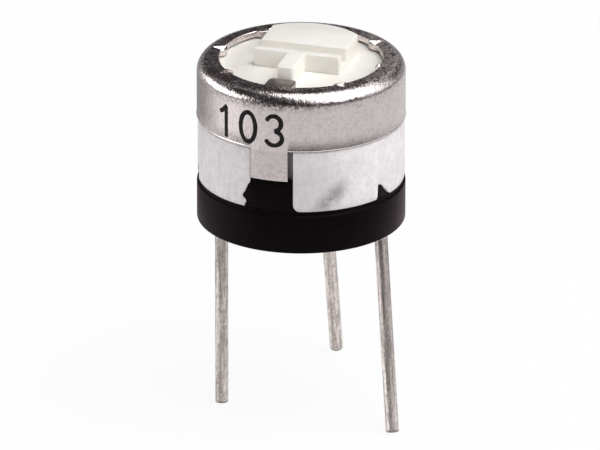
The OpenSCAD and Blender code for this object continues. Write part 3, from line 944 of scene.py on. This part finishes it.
toward = Vector((sin(AZ) * cos(EL), -cos(AZ) * cos(EL), sin(EL)))
ahead = Vector((sin(AZ), -cos(AZ), 0))
right = Vector((cos(AZ), sin(AZ), 0))
up = right.cross(toward) * -1
aim = (right * (IMAGE_W / 2 - ORIGIN_X) / PX_MM + up * (ORIGIN_Y - IMAGE_H / 2) / PX_MM) / 1000
cam_data = bpy.data.cameras.new("camera")
cam_data.type = "PERSP"
cam_data.sensor_fit = "HORIZONTAL"
cam_data.sensor_width = SENSOR
cam_data.lens = SENSOR * CAMERA_FAR / (IMAGE_W / PX_MM / 1000)
cam_data.clip_start = 0.01
cam_data.clip_end = 20.0
cam = linked("camera", cam_data)
cam.location = aim + toward * CAMERA_FAR
cam.rotation_euler = toward.to_track_quat("Z", "Y").to_euler()
scene.camera = cam


# Floor, backdrop and light

def white_floor(low):
    """White to the camera; in the metal, white near the object and fading away from it."""
    mat = bpy.data.materials.new("floor_white")
    mat.use_nodes = True
    f = Tree(mat.node_tree)
    sheet = f.t.nodes["Principled BSDF"]
    sheet.inputs["Base Color"].default_value = (0.92, 0.92, 0.92, 1)
    sheet.inputs["Roughness"].default_value = 0.9
    sheet.inputs["Specular IOR Level"].default_value = 0.1
    place = f.node("ShaderNodeNewGeometry").outputs["Position"]

    def far_from(point):
        n = f.node("ShaderNodeVectorMath", operation="DISTANCE")
        f.link(place, n.inputs[0])
        n.inputs[1].default_value = point
        return n.outputs["Value"]

    far = far_from((0, 0, 0))
    pool = f.ramp(far, 0.02, 0.11, 0.72, 0.04, soft=True)
    near = f.ramp(far, 0.010, 0.020, 1.0, 0.0, soft=True)
    # in the metal's reflections, a painted bright patch glows on the floor to the object's left, a little
    # toward the camera, and a painted dim spot lies behind it on the left
    patch = f.ramp(far_from(right * -0.026 + ahead * 0.005 + low), 0.004, 0.015, 0.35, 0.0, soft=True)
    dim = f.ramp(far_from(right * -0.016 + ahead * -0.022 + low), 0.006, 0.022, 0.4, 1.0, soft=True)
    camera, shown = f.shown()
    level = f.math("MAXIMUM", f.math("MAXIMUM", camera, near), f.add(f.mul(pool, dim), patch))
    glow = f.node("ShaderNodeEmission")
    glow.inputs["Color"].default_value = (1, 1, 1, 1)
    f.link(level, glow.inputs["Strength"])
    # a part of the sheet itself is left, which keeps the object's shadow
    both = f.node("ShaderNodeMixShader")
    f.link(f.mul(shown, 0.93), both.inputs[0])
    f.link(sheet.outputs[0], both.inputs[1])
    f.link(glow.outputs[0], both.inputs[2])
    f.link(both.outputs[0], f.t.nodes["Material Output"].inputs["Surface"])
    return mat


FLOOR_HALF = 4.0
floor_me = bpy.data.meshes.new("floor")
floor_me.from_pydata([(FLOOR_HALF * i, FLOOR_HALF * j, 0) for i, j in ((-1, -1), (1, -1), (1, 1), (-1, 1))],
                     [], [(0, 1, 2, 3)])
floor_ob = linked("floor", floor_me)
floor_ob.location = (0, 0, -STAND / 1000)
floor_me.materials.append(white_floor(Vector((0, 0, -STAND / 1000))))

# The room is white where it is seen, and gives a low even light
world = bpy.data.worlds.new("studio")
scene.world = world
world.use_nodes = True
room = Tree(world.node_tree)
sky = room.t.nodes["Background"]
sky.inputs["Color"].default_value = (1, 1, 1, 1)
room.link(room.ramp(room.shown()[1], 0.0, 1.0, 0.32, 1.0), sky.inputs["Strength"])


def around(turn, height):
    """A direction by its angle to the right of the camera's and its height in degrees."""
    a, h = AZ + radians(turn), radians(height)
    return Vector((sin(a) * cos(h), -cos(a) * cos(h), sin(h)))


def softbox(name, turn, height, distance, size, size_y, level):
    """A lamp of even brightness, where 1 shows as white in a mirror."""
    data = bpy.data.lights.new(name, "AREA")
    data.shape = "RECTANGLE"
    data.size = size
    data.size_y = size_y
    data.energy = level * pi * size * size_y
    ob = linked(name, data)
    d = around(turn, height)
    ob.location = d * distance
    ob.rotation_euler = d.to_track_quat("Z", "Y").to_euler()


softbox("soft_right", 62, 48, 0.45, 0.50, 0.50, 2.35)
softbox("soft_left", -95, 10, 0.45, 0.50, 0.20, 3.5)
softbox("soft_top", 60, 80, 0.5, 0.30, 0.30, 3.3)


def card(name, turns, heights, color):
    """A curved dark sheet round the object, which only reflections show."""
    pts = [around(turn, height) * 0.9 for turn in turns for height in heights]
    n = len(heights)
    corners = [i * n + k for i in range(len(turns) - 1) for k in range(n - 1)]
    me = bpy.data.meshes.new(name)
    me.from_pydata(pts, [], [(c, c + n, c + n + 1, c + 1) for c in corners])
    ob = linked(name, me)
    mat = bpy.data.materials.new(name + "_cloth")
    mat.use_nodes = True
    b = mat.node_tree.nodes["Principled BSDF"]
    b.inputs["Base Color"].default_value = (*color, 1)
    b.inputs["Roughness"].default_value = 0.9
    me.materials.append(mat)
    ob.visible_camera = False


# A dark flag behind and above, which the cap's flat ring mirrors, and dark cards before the
# object, at the left and low at the right, which break the shine along the shoulder
card("dark_flag", range(115, 241, 7), range(4, 83, 6), (0.10, 0.083, 0.088))
card("dark_card", range(-122, 7, 4), range(2, 83, 8), (0.05, 0.042, 0.045))
card("dark_low", range(6, 79, 6), range(1, 20, 6), (0.05, 0.042, 0.045))
